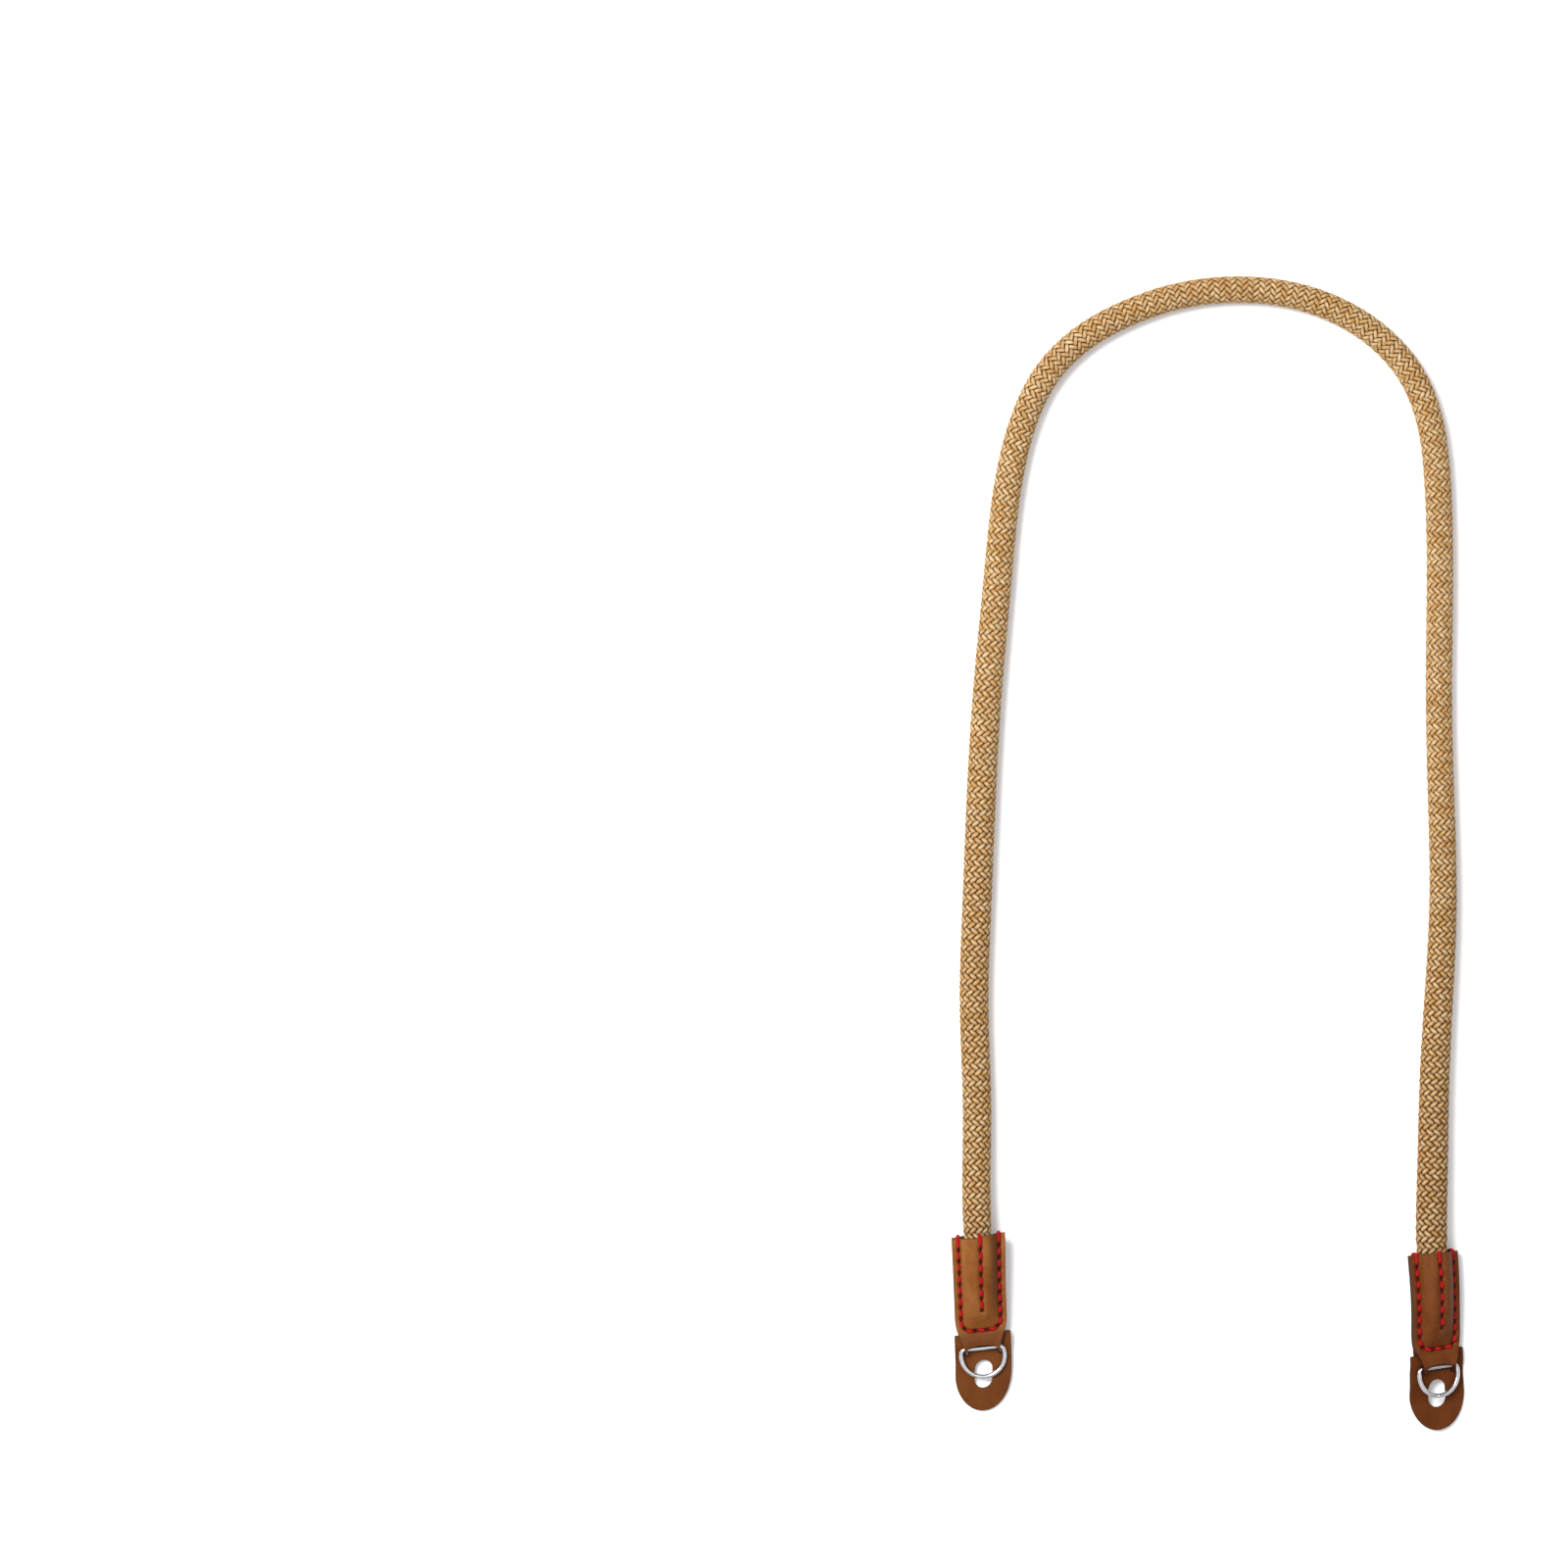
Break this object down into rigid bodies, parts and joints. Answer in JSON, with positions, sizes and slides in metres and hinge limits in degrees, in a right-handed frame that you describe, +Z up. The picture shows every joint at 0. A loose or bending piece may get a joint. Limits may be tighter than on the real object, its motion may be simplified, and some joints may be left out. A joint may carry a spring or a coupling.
{
  "type": "camera neck strap",
  "caption": "Rope neck strap for a small camera: a braided rope with a sewn leather sleeve, a D-ring and a leather pad at each end, lying flat in a long loop.",
  "frame": {"origin": "on the surface the strap lies on, under the middle of the box round its two ends", "axes": "+Z up from the surface, +X from the left end to the right end, +Y from the ends along the strap to its bend"},
  "size_m": [0.2033, 0.4578, 0.0167],
  "materials": {
    "cotton_rope": "round braid of beige cotton strands with a slight silky sheen",
    "brown_leather": "vegetable-tanned leather, red-brown, fine grain, darker burnished edges",
    "plated_wire": "bright nickel plating",
    "red_thread": "thick waxed red sewing thread"
  },
  "bodies": {
    "strap": {"rope": "cotton_rope", "sleeve_left": "brown_leather", "sleeve_right": "brown_leather", "pad_left": "brown_leather", "pad_right": "brown_leather"},
    "ring_left": {"ring_left": "plated_wire"},
    "ring_right": {"ring_right": "plated_wire"}
  },
  "joints": [
    {"name": "ring_left_swing", "type": "hinge", "parent": "strap", "child": "ring_left", "pos_m": [-0.0893, -0.0065, 0.00505], "axis": [-0.9942, -0.108, 0], "range_deg": [0, 120]},
    {"name": "ring_right_swing", "type": "hinge", "parent": "strap", "child": "ring_right", "pos_m": [0.09109, -0.01368, 0.00683], "axis": [-0.936, -0.0807, 0.3426], "range_deg": [0, 120]}
  ]
}
